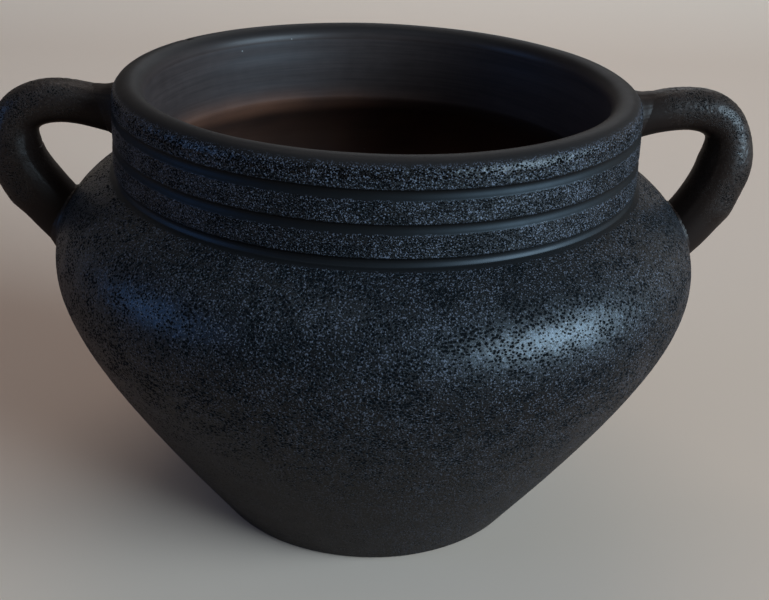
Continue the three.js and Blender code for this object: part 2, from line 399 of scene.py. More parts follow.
class ClayMesh:
    """Collects rings of vertices and joins them to a closed, smooth shaded mesh."""

    SAMPLES = 16
    ROUNDING = 1e-6
    MAP_MARGIN = 0.01
    MAP_ACROSS = 0.97
    MAP_RISE = 0.98

    def __init__(self) -> None:
        """Starts an empty mesh."""
        self.places: list[np.ndarray] = []
        self.normals: list[np.ndarray] = []
        self.layers: dict[Layer, list[np.ndarray]] = {layer: [] for layer in Layer}
        self.rings: list[Ring] = []
        self.faces: list[tuple[int, ...]] = []
        self.total = 0

    @classmethod
    def wrapped(cls, skin: Skin, solid: bool) -> "ClayMesh":
        """Makes a closed mesh of all the rings of a skin.

        Args:
            skin: The rings.
            solid: True for two flat ends, False if the last ring meets the first.

        Returns:
            The closed mesh.
        """
        mesh = cls()
        for row in range(len(skin.places)):
            mesh.add_ring(skin, row)
        mesh.close(solid)
        return mesh

    def add_ring(self, skin: Skin, row: int, stride: int = 1) -> None:
        """Adds one ring of a skin, with 0 for the layers that the skin leaves out.

        Args:
            skin: The rings.
            row: Which ring.
            stride: 1 for every vertex of the ring, 2 for every second one and so on.
        """
        places = skin.places[row, ::stride]
        self.rings.append(Ring(self.total, len(places)))
        self.total += len(places)
        self.places.append(places)
        self.normals.append(skin.normals[row, ::stride])
        for layer, values in self.layers.items():
            given = layer in skin.layers
            values.append(skin.layers[layer][row, ::stride] if given else np.zeros(len(places)))

    def join(self, first: Ring, second: Ring) -> None:
        """Spans two rings with faces, also where one has more vertices.

        Args:
            first: Ring that the band starts from.
            second: Ring that the band ends at.
        """
        if first.count == second.count:
            here = np.arange(first.count)
            after = (here + 1) % first.count
            corners = [first.start + here, first.start + after, second.start + after, second.start + here]
            self.faces.extend(map(tuple, np.stack(corners, axis=1).tolist()))
            return
        coarse, fine = (first, second) if first.count < second.count else (second, first)
        ratio = fine.count // coarse.count
        half = ratio // 2
        for k in range(coarse.count):
            near = coarse.start + k
            far = coarse.start + (k + 1) % coarse.count
            teeth = [fine.start + (k * ratio + i) % fine.count for i in range(ratio + 1)]
            fans = [(near, far, teeth[half])]
            fans += [(near, teeth[i + 1], teeth[i]) for i in range(half)]
            fans += [(far, teeth[i + 1], teeth[i]) for i in range(half, ratio)]
            self.faces.extend(face[::-1] if coarse is second else face for face in fans)

    def close(self, solid: bool) -> None:
        """Joins the rings in their order and closes the form.

        Args:
            solid: True for two flat ends, False if the last ring meets the first.
        """
        for first, second in zip(self.rings, self.rings[1:]):
            self.join(first, second)
        if not solid:
            self.join(self.rings[-1], self.rings[0])
            return
        ends = [tuple(range(ring.start, ring.start + ring.count)) for ring in self.rings]
        self.faces += [ends[0][::-1], ends[-1]]

    def along(self) -> np.ndarray:
        """Measures the way from ring to ring.

        Returns:
            Distance from the first ring to each ring, as a share of the whole way.
        """
        spots = [row[np.arange(self.SAMPLES) * len(row) // self.SAMPLES] for row in self.places]
        steps = [np.linalg.norm(b - a, axis=1).mean() for a, b in zip(spots, spots[1:])]
        run = np.concatenate([[0.0], np.cumsum(steps)])
        return run / run[-1]

    def unwrap(self, mesh: bpy.types.Mesh, sectors: int) -> None:
        """Lays the rings flat for the bake, cut into sectors that lie above each other.

        Args:
            mesh: The finished mesh.
            sectors: Number of equal cuts of each ring.
        """
        counts = [ring.count for ring in self.rings]
        turn = np.concatenate([np.arange(count) / count for count in counts])
        rise = np.repeat(self.along(), counts)
        corner = np.empty(len(mesh.loops), np.int64)
        mesh.loops.foreach_get("vertex_index", corner)
        sizes = np.array([len(face) for face in self.faces])
        owner = np.repeat(np.arange(len(sizes)), sizes)
        starts = np.concatenate([[0], np.cumsum(sizes)[:-1]])
        across = turn[corner]
        low = np.minimum.reduceat(across, starts)[owner]
        high = np.maximum.reduceat(across, starts)[owner]
        across = np.where((high - low > 0.5) & (across < 0.5), across + 1.0, across)
        first = np.minimum.reduceat(across, starts)
        sector = np.minimum(np.floor(first * sectors + self.ROUNDING), sectors - 1)[owner]
        place = np.stack([
            self.MAP_MARGIN + self.MAP_ACROSS * (across * sectors - sector),
            (sector + self.MAP_MARGIN + self.MAP_RISE * rise[corner]) / sectors,
        ], axis=1)
        layer = mesh.uv_layers.new(name=BAKE_MAP)
        layer.data.foreach_set("uv", np.clip(place, 0.0, 1.0).astype(np.float32).ravel())

    def make(self, name: str, sectors: int) -> bpy.types.Object:
        """Turns the rings into an object.

        Args:
            name: Name of the piece.
            sectors: Number of cuts in which the rings are laid flat for the bake.

        Returns:
            The linked object.
        """
        mesh = bpy.data.meshes.new(name)
        mesh.from_pydata(np.concatenate(self.places).tolist(), [], self.faces)
        mesh.update()
        mesh.shade_smooth()
        for layer, values in self.layers.items():
            attribute = mesh.attributes.new(layer.value, "FLOAT", "POINT")
            attribute.data.foreach_set("value", np.concatenate(values).astype(np.float32))
        self.unwrap(mesh, sectors)
        mesh.normals_split_custom_set_from_vertices(np.concatenate(self.normals).tolist())
        return linked(name, mesh)


class NodeSheet:
    """Writes nodes and links into one node tree."""

    def __init__(self, tree: bpy.types.NodeTree) -> None:
        """Takes the tree to write into."""
        self.tree = tree

    def add(
        self, kind: str, inputs: dict[str | int, object] | None = None, **settings: object,
    ) -> bpy.types.Node:
        """Adds a node.

        Args:
            kind: Node type, without its ShaderNode prefix.
            inputs: Values or sockets for its inputs, by name or number.
            settings: Properties of the node.

        Returns:
            The new node.
        """
        node = self.tree.nodes.new("ShaderNode" + kind)
        for key, value in settings.items():
            setattr(node, key, value)
        for key, value in (inputs or {}).items():
            if isinstance(value, Socket):
                self.tree.links.new(value, node.inputs[key])
            else:
                node.inputs[key].default_value = value
        return node

    def math(self, operation: str, *values: object) -> Socket:
        """Adds a Math node and returns its output."""
        return self.add("Math", dict(enumerate(values)), operation=operation).outputs[0]

    def vector(self, operation: str, inputs: dict[str | int, object]) -> Socket:
        """Adds a Vector Math node and returns its output."""
        return self.add("VectorMath", inputs, operation=operation).outputs[0]

    def ease(self, value: Socket, low: float, high: float) -> Socket:
        """Adds a smooth Map Range from low and high to 0 and 1 and returns its output."""
        inputs = {"Value": value, "From Min": low, "From Max": high}
        return self.add("MapRange", inputs, interpolation_type="SMOOTHSTEP").outputs["Result"]

    def between(self, share: object, first: object, second: object) -> Socket:
        """Adds a Mix of two values and returns its output."""
        return self.add("Mix", {"Factor": share, "A": first, "B": second}, data_type="FLOAT").outputs[0]

    def tinted(self, share: object, first: object, second: object) -> Socket:
        """Adds a Mix of two colours, each a plain colour or a socket, and returns its output."""
        a, b = (end if isinstance(end, Socket) else (*end, 1.0) for end in (first, second))
        return self.add("Mix", {"Factor": share, "A": a, "B": b}, data_type="RGBA").outputs[2]

    def noise(self, place: Socket, per_metre: Socket, detail: float, roughness: float = 0.5) -> Sockets:
        """Adds a Noise Texture and returns its outputs."""
        inputs = {"Vector": place, "Scale": per_metre, "Detail": detail, "Roughness": roughness}
        return self.add("TexNoise", inputs).outputs

    def cells(self, place: Socket, per_metre: Socket) -> Sockets:
        """Adds a Voronoi Texture of nearest cells and returns its outputs."""
        return self.add("TexVoronoi", {"Vector": place, "Scale": per_metre}, feature="F1").outputs

    def attribute(self, layer: Layer) -> Socket:
        """Reads one of the mesh's layers."""
        return self.add("Attribute", attribute_name=layer.value).outputs["Fac"]

    def give(self, value: Socket, target: Socket) -> None:
        """Links a value to an input that is there already."""
        self.tree.links.new(value, target)


class EffectGroup(Enum):
    """Shared shader effects by group name."""

    PITS = "pitted_grain"
    MOTTLE = "smoke_mottle"
    TOOL_LINES = "tool_lines"
    # Painted glints that stand in for highlights on the grain.
    PAINTED_GLINTS = "painted_glints"
    SPECKS = "pale_specks"


class GroupMaker:
    """Builds the shader node groups that the clay finishes share."""

    NOISE_MIDDLE = 0.5
    PIT_RAGGED = 0.6
    PIT_PATCHES: Span = (0.34, 0.64)
    PIT_WALL: Span = (-1.0, 1.0)
    PIT_CORE: Span = (-1.4, 0.4)
    # Patch swing and edge width of the painted glints.
    GLINT_PATCH = 0.10
    GLINT_EDGE = 0.06
    MOTTLE_FINE = 0.6
    MOTTLE_RANGE: Span = (0.55, 1.05)
    SPECK_CHOICE: Span = (0.6, 1.0)

    def __init__(self) -> None:
        """Builds every group once."""
        self.groups = {
            EffectGroup.PITS: self._pits(),
            EffectGroup.MOTTLE: self._mottle(),
            EffectGroup.TOOL_LINES: self._tool_lines(),
            EffectGroup.PAINTED_GLINTS: self._painted_glints(),
            EffectGroup.SPECKS: self._specks(),
        }

    @staticmethod
    def _start(
        effect: EffectGroup, takes: dict[str, float], gives: Sequence[str],
    ) -> tuple[NodeSheet, Sockets, Sockets]:
        """Makes an empty group with a Vector input and its other sockets.

        Args:
            effect: Which group.
            takes: Names of its other inputs with their default values.
            gives: Names of its outputs.

        Returns:
            A sheet to write it with, its inputs as sockets and its result's sockets.
        """
        group = bpy.data.node_groups.new(effect.value, "ShaderNodeTree")
        group.interface.new_socket("Vector", in_out="INPUT", socket_type="NodeSocketVector")
        for key, value in takes.items():
            socket = group.interface.new_socket(key, in_out="INPUT", socket_type="NodeSocketFloat")
            socket.default_value = value
        for key in gives:
            group.interface.new_socket(key, in_out="OUTPUT", socket_type="NodeSocketFloat")
        source = group.nodes.new("NodeGroupInput")
        result = group.nodes.new("NodeGroupOutput")
        return NodeSheet(group), source.outputs, result.inputs

    def _pits(self) -> bpy.types.NodeTree:
        """Small ragged pits, drawn out along the turning and gathered in patches.

        Returns:
            A group with a height, 1 on the flat, and a mask of the pits' floors.
        """
        takes = {
            "Per Metre": 700.0, "Drawn Out": 1.4, "Patch Per Metre": 90.0,
            "Sparse": 0.2, "Dense": 0.4, "Edge": 0.1,
        }
        sheet, source, result = self._start(EffectGroup.PITS, takes, ("Height", "Core"))
        apart = sheet.add("SeparateXYZ", {0: source["Vector"]}).outputs
        drawn = sheet.math("MULTIPLY", apart["Z"], source["Drawn Out"])
        level = sheet.add("CombineXYZ", {0: apart["X"], 1: apart["Y"], 2: drawn}).outputs[0]
        ragged = sheet.noise(level, source["Per Metre"], detail=1.0)["Color"]
        centred = sheet.vector("SUBTRACT", {0: ragged, 1: [self.NOISE_MIDDLE] * 3})
        reach = sheet.math("DIVIDE", self.PIT_RAGGED, source["Per Metre"])
        bent = sheet.vector("SCALE", {0: centred, "Scale": reach})
        moved = sheet.vector("ADD", {0: level, 1: bent})
        away = sheet.cells(moved, source["Per Metre"])["Distance"]
        patch = sheet.noise(level, source["Patch Per Metre"], detail=2.0, roughness=0.6)["Fac"]
        wide = sheet.between(sheet.ease(patch, *self.PIT_PATCHES), source["Sparse"], source["Dense"])
        beyond = sheet.math("DIVIDE", sheet.math("SUBTRACT", away, wide), source["Edge"])
        sheet.give(sheet.ease(beyond, *self.PIT_WALL), result["Height"])
        sheet.give(sheet.math("SUBTRACT", 1.0, sheet.ease(beyond, *self.PIT_CORE)), result["Core"])
        return sheet.tree

    def _painted_glints(self) -> bpy.types.NodeTree:
        """Painted glints: small pale specks that stand in for highlights on tiny facets of the grain,
        thicker in some patches.

        Returns:
            A group with a mask of the painted glints.
        """
        takes = {"Per Metre": 1500.0, "Patch Per Metre": 60.0, "From": 0.56}
        sheet, source, result = self._start(EffectGroup.PAINTED_GLINTS, takes, ("Fleck",))
        grains, patch = (
            sheet.noise(source["Vector"], source[key], detail=1.0)["Fac"]
            for key in ("Per Metre", "Patch Per Metre")
        )
        thicker = sheet.math("SUBTRACT", patch, self.NOISE_MIDDLE)
        raised = sheet.math("MULTIPLY_ADD", thicker, self.GLINT_PATCH, grains)
        above = sheet.math("SUBTRACT", raised, source["From"])
        sheet.give(sheet.ease(above, 0.0, self.GLINT_EDGE), result["Fleck"])
        return sheet.tree

    def _mottle(self) -> bpy.types.NodeTree:
        """Broad and fine blotches from smoke and burnishing.

        Returns:
            A group with one value from 0 to 1.
        """
        takes = {"Broad Per Metre": 14.0, "Fine Per Metre": 160.0}
        sheet, source, result = self._start(EffectGroup.MOTTLE, takes, ("Value",))
        broad, fine = (sheet.noise(source["Vector"], source[key], detail=3.0)["Fac"] for key in takes)
        both = sheet.math("MULTIPLY_ADD", fine, self.MOTTLE_FINE, broad)
        sheet.give(sheet.ease(both, *self.MOTTLE_RANGE), result["Value"])
        return sheet.tree

    def _tool_lines(self) -> bpy.types.NodeTree:
        """Fine level lines that a rib leaves in turning clay.

        Returns:
            A group with a height.
        """
        takes = {"Per Metre": 700.0, "Drift": 0.03}
        sheet, source, result = self._start(EffectGroup.TOOL_LINES, takes, ("Height",))
        apart = sheet.add("SeparateXYZ", {0: source["Vector"]}).outputs
        x, y = (sheet.math("MULTIPLY", apart[key], source["Drift"]) for key in ("X", "Y"))
        level = sheet.add("CombineXYZ", {0: x, 1: y, 2: apart["Z"]}).outputs[0]
        lines = sheet.noise(level, source["Per Metre"], detail=3.0, roughness=0.65)["Fac"]
        sheet.give(lines, result["Height"])
        return sheet.tree

    def _specks(self) -> bpy.types.NodeTree:
        """Sparse pale specks of dust and scuffed clay.

        Returns:
            A group with a speck mask.
        """
        takes = {"Per Metre": 120.0, "Size": 0.06}
        sheet, source, result = self._start(EffectGroup.SPECKS, takes, ("Speck",))
        cells = sheet.cells(source["Vector"], source["Per Metre"])
        chosen = sheet.add("SeparateColor", {0: cells["Color"]}).outputs[0]
        size = sheet.math("MULTIPLY", source["Size"], sheet.ease(chosen, *self.SPECK_CHOICE))
        sheet.give(sheet.math("LESS_THAN", cells["Distance"], size), result["Speck"])
        return sheet.tree


@dataclass(frozen=True)
class ClayFinish:
    """One finish of the smoked clay, with its colours linear and its sizes in metres."""

    name: str
    slot: str
    dark: Colour = (0.0032, 0.0029, 0.0028)
    pale: Colour = (0.0080, 0.0070, 0.0066)
    burnish: Colour = (0.0062, 0.0054, 0.0052)
    # Colour of the painted glints, pale specks that stand in for highlights on the grain.
    fleck: Colour = (0.0920, 0.0970, 0.1210)
    # Painted shade: near black put into the floors of the pits, which are only bumps.
    pit_shade: Colour = (0.0012, 0.0011, 0.0011)
    inside_dark: Colour = (0.0310, 0.0212, 0.0190)
    inside_pale: Colour = (0.0490, 0.0335, 0.0300)
    # Colour of the painted warm light inside: a pool of lit clay at the back left, and a share over the
    # depth.
    bloom: Colour = (0.2350, 0.1020, 0.0620)
    speck: Colour = (0.1800, 0.1700, 0.1600)
    sheen: Colour = (0.66, 0.83, 1.0)
    specular: float = 0.25
    skin: float = 0.46
    bare_skin: float = 0.2
    inside_skin: float = 0.26
    gloss: float = 0.36
    bare: float = 0.48
    matt: float = 1.0
    mottle_rough: float = 0.07
    grain_shows: Span = (0.05, 0.35)
    glints_per_metre: float = 1450.0
    glint_from: float = 0.58
    glint_fade: float = 0.6
    fine_per_metre: float = 720.0
    coarse_per_metre: float = 640.0
    sparse: float = 0.28
    dense: float = 0.52
    pit_edge: float = 0.1
    pit_depth: float = 0.00040
    grit_per_metre: float = 1500.0
    grit_sparse: float = 0.16
    grit_dense: float = 0.5
    grit_edge: float = 0.16
    grit_depth: float = 0.00022
    lines_per_metre: float = 700.0
    line_depth: float = 0.00002
    streak_share: float = 0.6
    streak_range: Span = (0.35, 0.65)

    def material(self, groups: dict[EffectGroup, bpy.types.NodeTree]) -> bpy.types.Material:
        """Builds the material.

        Args:
            groups: The shared node groups.

        Returns:
            A procedural material of this finish.
        """
        material = bpy.data.materials.new(self.name)
        material.use_nodes = True
        material.node_tree.nodes.clear()
        sheet = ClaySheet(material.node_tree, self, groups)
        shader = sheet.add("BsdfPrincipled", {
            "Base Color": sheet.colour(),
            "Roughness": sheet.roughness(),
            "Normal": sheet.normal(),
            "Specular IOR Level": self.specular,
            "Specular Tint": (*self.sheen, 1.0),
            "Coat Weight": sheet.coat(),
            "Coat Roughness": self.gloss,
        })
        sheet.add("OutputMaterial", {"Surface": shader.outputs["BSDF"]})
        return material


class ClaySheet(NodeSheet):
    """Writes the nodes of one clay finish into its material."""

    def __init__(
        self, tree: bpy.types.NodeTree, finish: ClayFinish, groups: dict[EffectGroup, bpy.types.NodeTree],
    ) -> None:
        """Adds the nodes that colour, gloss and relief share.

        Args:
            tree: The material's node tree.
            finish: Values of the finish.
            groups: The shared node groups.
        """
        super().__init__(tree)
        self.finish = finish
        self.groups = groups
        self.place = self.add("TexCoord").outputs["Object"]
        self.grain = self.attribute(Layer.GRAIN)
        self.inside = self.attribute(Layer.INSIDE)
        self.present = self.ease(self.grain, *finish.grain_shows)
        self.mottle = self.effect(EffectGroup.MOTTLE, {})["Value"]
        self.lines = self.effect(EffectGroup.TOOL_LINES, {"Per Metre": finish.lines_per_metre})["Height"]
        per_metre = self.between(
            self.attribute(Layer.COARSE), finish.fine_per_metre, finish.coarse_per_metre,
        )
        self.pits = self.pitting(per_metre, finish.sparse, finish.dense, finish.pit_edge)
        self.sunk = self.math("MULTIPLY", self.pits["Core"], self.present)

    def effect(self, effect: EffectGroup, inputs: dict[str, object]) -> Sockets:
        """Places a shared group in the piece's own space and returns its outputs."""
        return self.add("Group", {"Vector": self.place, **inputs}, node_tree=self.groups[effect]).outputs

    def pitting(self, per_metre: object, sparse: float, dense: float, edge: float) -> Sockets:
        """Places the pits, as wide as the grain at each place lets them be."""
        thin, thick = (self.math("MULTIPLY", self.grain, width) for width in (sparse, dense))
        return self.effect(
            EffectGroup.PITS, {"Per Metre": per_metre, "Sparse": thin, "Dense": thick, "Edge": edge},
        )

    def colour(self) -> Socket:
        """Mixes the clay's colours, outside and inside, with painted glints, painted shade in the pits and
        painted warm light inside.

        Returns:
            The base colour.
        """
        finish = self.finish
        # Painted glints: pale specks that stand in for highlights, shown more where the grain is fuller.
        glints = self.effect(
            EffectGroup.PAINTED_GLINTS, {"Per Metre": finish.glints_per_metre, "From": finish.glint_from},
        )["Fleck"]
        glints_shown = self.math("MULTIPLY", glints, self.math("POWER", self.grain, finish.glint_fade))
        grained = self.tinted(self.mottle, finish.dark, finish.pale)
        outer = self.tinted(self.grain, finish.burnish, grained)
        with_glints = self.tinted(glints_shown, outer, finish.fleck)
        streaks = self.ease(self.lines, *finish.streak_range)
        streaked = self.between(finish.streak_share, self.mottle, streaks)
        inner = self.tinted(streaked, finish.inside_dark, finish.inside_pale)
        # Painted light: the inside is tinted warmer and lighter where the painted warm light falls.
        warm_lit = self.tinted(self.attribute(Layer.BLOOM), inner, finish.bloom)
        clay = self.tinted(self.inside, with_glints, warm_lit)
        # Painted shade: the floors of the pits are coloured near black.
        pit_shaded = self.tinted(self.sunk, clay, finish.pit_shade)
        specks = self.math("MULTIPLY", self.effect(EffectGroup.SPECKS, {})["Speck"], self.inside)
        return self.tinted(specks, pit_shaded, finish.speck)

    def roughness(self) -> Socket:
        """Mixes the gloss of the skin, which is matt in the pits.

        Returns:
            The roughness.
        """
        satin = self.between(self.present, self.finish.bare, self.finish.gloss)
        uneven = self.math("MULTIPLY_ADD", self.mottle, self.finish.mottle_rough, satin)
        return self.between(self.sunk, uneven, self.finish.matt)

    def coat(self) -> Socket:
        """Mixes the weight of the burnished skin, which the pits lack.

        Returns:
            The coat's weight.
        """
        grained = self.math("MULTIPLY", self.grain, self.finish.skin)
        outer = self.between(self.present, self.finish.bare_skin, grained)
        glazed = self.between(self.inside, outer, self.finish.inside_skin)
        return self.between(self.sunk, glazed, 0.0)

    def normal(self) -> Socket:
        """Lays pits and grit over the tool lines.

        Returns:
            The bent normal.
        """
        finish = self.finish
        grit = self.pitting(finish.grit_per_metre, finish.grit_sparse, finish.grit_dense, finish.grit_edge)
        normal = self.add("Bump", {"Height": self.lines, "Distance": finish.line_depth}).outputs[0]
        for pits, depth in ((self.pits, finish.pit_depth), (grit, finish.grit_depth)):
            height = self.between(self.present, 1.0, pits["Height"])
            normal = self.add("Bump", {"Height": height, "Distance": depth, "Normal": normal}).outputs[0]
        return normal


# The bands' painted glints are paler, bluer and finer than the body's.
BAND_GRAIN = {
    "fleck": (0.140, 0.154, 0.196), "fine_per_metre": 1150.0, "coarse_per_metre": 880.0, "sparse": 0.38,
    "dense": 0.54, "glints_per_metre": 1750.0, "glint_from": 0.56,
}


class Finish(Enum):
    """The finishes of the vase's pieces, each for one material slot of the record."""

    LOWER = ClayFinish("lower_clay", "scraped_clay", burnish=(0.0175, 0.0132, 0.0108))
    SHOULDER = ClayFinish("shoulder_clay", "grained_clay")
    COLLAR = ClayFinish(
        "collar_clay", "grained_clay", **BAND_GRAIN, gloss=0.46, specular=0.21, skin=0.52, bare_skin=0.05,
        sheen=(0.70, 0.86, 1.0),
    )
    LIP = ClayFinish(
        "lip_clay", "burnished_clay", **BAND_GRAIN, burnish=(0.0150, 0.0128, 0.0126), specular=0.115,
        bare_skin=0.1, sheen=(1.0, 0.95, 0.95),
    )
    # The handle's painted glints are dimmer and warmer.
    HANDLE = ClayFinish(
        "rolled_clay", "handle_clay", dark=(0.0155, 0.0088, 0.0068), pale=(0.0260, 0.0158, 0.0124),
        burnish=(0.0190, 0.0112, 0.0088), fleck=(0.046, 0.032, 0.027), fine_per_metre=980.0, sparse=0.22,
        dense=0.46, specular=0.19, skin=0.36, bare_skin=0.10, sheen=(1.0, 0.93, 0.88),
    )


class Dresser:
    """Gives each piece its finish, its body and the CAD node that it stands for."""

    def __init__(self) -> None:
        """Builds the shared groups and the finishes."""
        groups = GroupMaker().groups
        self.materials = {finish: finish.value.material(groups) for finish in Finish}

    def dress(self, piece: bpy.types.Object, node: str, finish: Finish) -> None:
        """Finishes a piece and ties it to the frame.

        Args:
            piece: The modelled piece.
            node: CAD node that the piece stands for.
            finish: Finish of its clay.
        """
        piece.data.materials.append(self.materials[finish])
        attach(piece, "root")
        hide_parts(node)
        LOG.info("%s stands for %s with %d faces", piece.name, node, len(piece.data.polygons))


@dataclass(frozen=True)
class TurnedPiece:
    """A piece that is cut from the turned skin.

    It has its CAD node, the runs of its outer side upwards, those of its inner side downwards and its
    finish. A solid piece starts and ends at the axis.
    """

    node: str
    outer: tuple[str, ...]
    inner: tuple[str, ...]
    finish: Finish
    solid: bool = False


@dataclass
class VaseBody:
    """The turned body: floor slab, two wall sections, grooved collar and lip."""

    base_radius: float = 0.080
    foot_bevel: float = 0.0015
    hub_radius: float = 0.004
    floor_thickness: float = 0.012
    wall_thickness: float = 0.011
    foot_lean: float = math.radians(56)
    foot_pull: float = 0.089
    belly_radius: float = 0.1485
    belly_height: float = 0.127
    belly_pull_down: float = 0.0205
    belly_pull_up: float = 0.0215
    neck_height: float = 0.167
    shoulder_slope: float = math.radians(31)
    shoulder_pull: float = 0.017
    floor_fillet_width: float = 0.005
    floor_fillet_height: float = 0.009
    mouth_radius: float = 0.104
    neck_ledge: float = 0.0006
    throat_lean: float = 0.008
    throat_drop: float = 0.010
    collar_height: float = 0.0343
    collar_foot_wall: float = 0.0156
    collar_top_wall: float = 0.0142
    collar_offset: Span = (-0.0011, 0.0001)
    groove_count: int = 3
    groove_pitch: float = 0.01325
    groove_width: float = 0.0041
    groove_depth: float = 0.0010
    groove_deepest: float = 0.64
    groove_points: int = 61
    lip_height: float = 0.0071
    lip_points: int = 160
    lip_outer_share: float = 2 / 7
    lip_inside_from: float = 0.55
    mark_width: float = 0.0010
    mark_depth: float = 0.00014
    mark_edge: float = 0.2
    mark_turn: float = -0.75
    mark_spread: float = 0.45
    mark_least: float = 0.1
    nick_place: Place = (-0.0933, 0.0631, 0.2082)
    nick_size: float = 0.0016
    nick_depth: float = 0.0011
    # Where the painted warm light falls inside: a pool at the back left, and a share over the depth.
    warm_light_turn: float = math.radians(138)
    warm_light_spread: float = math.radians(48)
    warm_light_height: float = 0.164
    warm_light_depth: float = 0.0075
    warm_light_swing: float = 0.4
    warm_light_cloud: float = 0.02
    depth_warm_light: float = 0.34
    depth_range: Span = (0.150, 0.172)
    grain_wander: float = 0.0006
    grain_wander_size: float = 0.003
    groove_fade: float = 0.0004
    root_fade: Span = (0.0125, 0.0185)
    root_wander: float = 2.0
    # The foot keeps less grain on the left than on the right; this is partly painted light, as it dims the
    # painted glints away from the right window.
    foot_grain_left: float = 0.35
    foot_grain_right: float = 0.62
    foot_grain_across: Span = (-0.5, 0.6)
    foot_grain_heights: Span = (0.045, 0.112)
    fine_from: float = 0.099
    columns: int = 1152
    sectors: int = 3
    roots: list[Place] = field(default_factory=list)

    PIECES = (
        TurnedPiece("base_disc", ("underside", "bevel", "foot"), ("floor",), Finish.LOWER, solid=True),
        TurnedPiece("lower_wall", ("lower", "belly"), ("inside",), Finish.LOWER),
        TurnedPiece("shoulder_wall", ("shoulder", "tool_mark", "seam_groove"), ("throat",), Finish.SHOULDER),
        TurnedPiece("neck_collar", ("groove_0", "top_band"), ("bore",), Finish.COLLAR),
        TurnedPiece("rim_lip", ("lip_outer", "lip_inner"), (), Finish.LIP),
    )

    def __post_init__(self) -> None:
        """Works out what follows from the sizes."""
        self.collar_foot_radius = self.mouth_radius + self.collar_foot_wall
        self.collar_top_radius = self.mouth_radius + self.collar_top_wall
        self.neck_radius = self.collar_foot_radius + self.neck_ledge
        self.collar_foot = self.neck_height + self.groove_width / 2
        self.lip_seam = self.neck_height + self.collar_height
        self.rim_height = self.lip_seam + self.lip_height
        self.lip_half = (self.collar_top_radius - self.mouth_radius) / 2
        foot = np.array([self.base_radius, 0.0])
        belly = np.array([self.belly_radius, self.belly_height])
        neck = np.array([self.neck_radius, self.neck_height])
        foot_end = foot + slanted(self.foot_pull, self.foot_lean)
        neck_end = neck + slanted(self.shoulder_pull, -self.shoulder_slope)
        belly_foot, belly_top = belly - [0.0, self.belly_pull_down], belly + [0.0, self.belly_pull_up]
        self.lower_outside = bezier([foot, foot_end, belly_foot, belly], count=600)
        self.shoulder_outside = bezier([belly, belly_top, neck_end, neck], count=400)
        self.grain = ClayGrain()

    def collar_radius(self, height: np.ndarray | float) -> np.ndarray:
        """Outside radius of collar and lip, with the grooves left out.

        Args:
            height: Heights from the neck up.

        Returns:
            The radii.
        """
        share = (np.asarray(height, float) - self.neck_height) / self.collar_height
        straight = self.collar_foot_radius + (self.collar_top_radius - self.collar_foot_radius) * share
        over = np.clip((np.asarray(height, float) - self.lip_seam) / self.lip_height, 0.0, 1.0)
        rounded = self.mouth_radius + self.lip_half * (1.0 + np.sqrt(1.0 - over ** 2))
        return np.where(over > 0.0, rounded, straight)

    def wall_radius(self, height: np.ndarray | float) -> np.ndarray:
        """Outside radius of the wall at any height, with the grooves left out.

        Args:
            height: Heights above the foot.

        Returns:
            The radii.
        """
        wall = np.vstack([self.lower_outside, self.shoulder_outside[1:]])
        below = np.interp(height, wall[:, 1], wall[:, 0])
        return np.where(np.asarray(height) >= self.neck_height, self.collar_radius(height), below)

    def centre_at(self, height: np.ndarray) -> np.ndarray:
        """How far the hand-set collar stands off the axis at a height, as (x, y)."""
        share = smoothstep(self.belly_height, self.collar_foot, height)
        return share[..., None] * np.array(self.collar_offset)

    def groove(self, foot: float) -> np.ndarray:
        """Draws a turned groove, deepest under its upper edge.

        Args:
            foot: Height of its lower edge.

        Returns:
            Its outline from its lower to its upper edge.
        """
        share = 0.5 - 0.5 * np.cos(np.linspace(0.0, math.pi, self.groove_points))
        deepest = self.groove_deepest
        slope = 1.0 - ((deepest - share) / deepest) ** 2
        steep = np.sqrt(np.clip(1.0 - ((share - deepest) / (1.0 - deepest)) ** 2, 0.0, 1.0))
        height = foot + self.groove_width * share
        depth = self.groove_depth * np.where(share < deepest, slope, steep)
        return np.stack([self.collar_radius(height) - depth, height], axis=1)

    def lower_inside(self) -> np.ndarray:
        """Draws the inside of the lower wall at an even thickness, with a fillet at the floor.

        Returns:
            Its outline from the belly down to the fillet's foot.
        """
        along = tangents(self.lower_outside)
        inwards = np.stack([-along[:, 1], along[:, 0]], axis=1)
        inner = self.lower_outside + self.wall_thickness * inwards
        fillet_top = self.floor_thickness + self.floor_fillet_height
        corner = np.interp(self.floor_thickness, inner[:, 1], inner[:, 0])
        straight = between_heights(inner, fillet_top, self.belly_height)[::-1]
        foot = (corner - self.floor_fillet_width, self.floor_thickness)
        fillet = bezier([straight[-1], (corner, self.floor_thickness), foot], count=30)
        return np.vstack([straight, fillet[1:]])

    def wall_runs(self) -> list[Run]:
        """Draws the outline from under the foot up to the neck.

        Returns:
            The stretches of the outline in order.
        """
        seam = self.floor_thickness
        edge = between_heights(self.lower_outside, self.foot_bevel, seam)
        under = np.array([(self.hub_radius, 0.0), (self.base_radius - self.foot_bevel, 0.0)])
        bevel = np.array([under[-1], edge[0]])
        lower = between_heights(self.lower_outside, seam, self.fine_from)
        belly = between_heights(self.lower_outside, self.fine_from, self.belly_height)
        shoulder = self.shoulder_outside
        marked = lengths(shoulder) >= lengths(shoulder)[-1] - self.mark_width
        return [
            Run("underside", under, spacing=0.002, surface=Surface.CUT, stride=4),
            Run("bevel", bevel, spacing=0.0005, surface=Surface.BURNISHED, stride=2),
            Run("foot", edge, spacing=0.0012, surface=Surface.BELLY, stride=2),
            Run("lower", lower, spacing=0.0014, surface=Surface.BELLY, stride=2),
            Run("belly", belly, spacing=0.0009, surface=Surface.BELLY),
            Run("shoulder", shoulder[~marked], spacing=0.00082, surface=Surface.BELLY, fade_end=0.0006),
            Run("tool_mark", shoulder[marked], spacing=0.00032, surface=Surface.BURNISHED),
        ]

